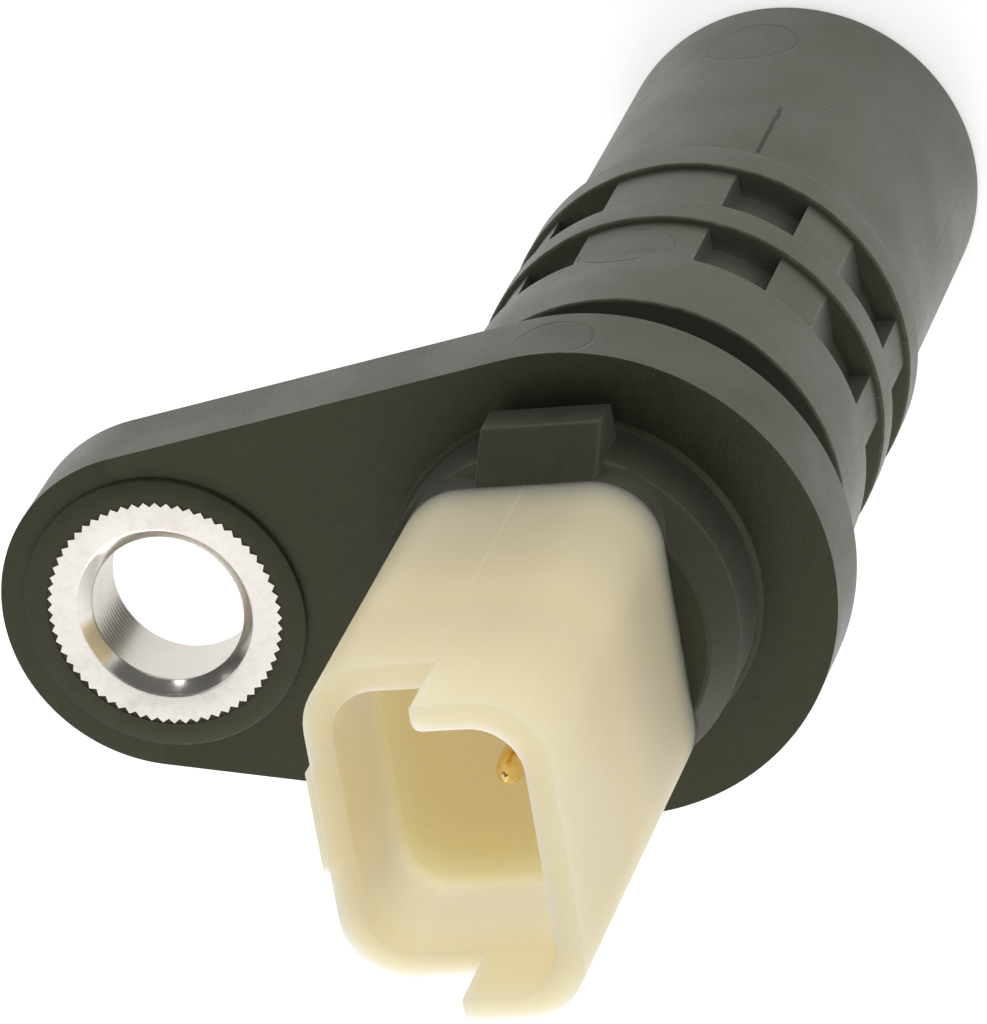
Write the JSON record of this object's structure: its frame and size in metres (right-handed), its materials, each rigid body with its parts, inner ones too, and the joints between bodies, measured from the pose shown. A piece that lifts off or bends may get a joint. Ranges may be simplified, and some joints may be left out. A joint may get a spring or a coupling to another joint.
{
  "type": "crankshaft position sensor",
  "caption": "Inductive crankshaft position sensor with a round ribbed probe, a teardrop fixing flange with a knurled metal bush, and a keyed plug socket in line with the probe.",
  "frame": {"origin": "centre of the flat sensing face at the end of the probe", "axes": "+Z along the probe axis from the sensing face towards the plug socket, fixing ear along -X"},
  "size_m": [0.0389, 0.0228, 0.0769],
  "materials": {
    "black_nylon": "fine moulded grain",
    "ivory_nylon": "satin, slightly translucent",
    "turned_aluminium": "turned and knurled",
    "gold_plate": "bright plating",
    "bobbin_plastic": "plain",
    "copper_winding": "enamelled wire",
    "soft_iron": "plain",
    "magnet_metal": "plain"
  },
  "bodies": {
    "root": {"body": "black_nylon", "connector_shroud": "ivory_nylon", "bush": "turned_aluminium", "terminal_a": "gold_plate", "terminal_b": "gold_plate", "bobbin": "bobbin_plastic", "winding": "copper_winding", "pole_pin": "soft_iron", "magnet": "magnet_metal"}
  },
  "joints": []
}
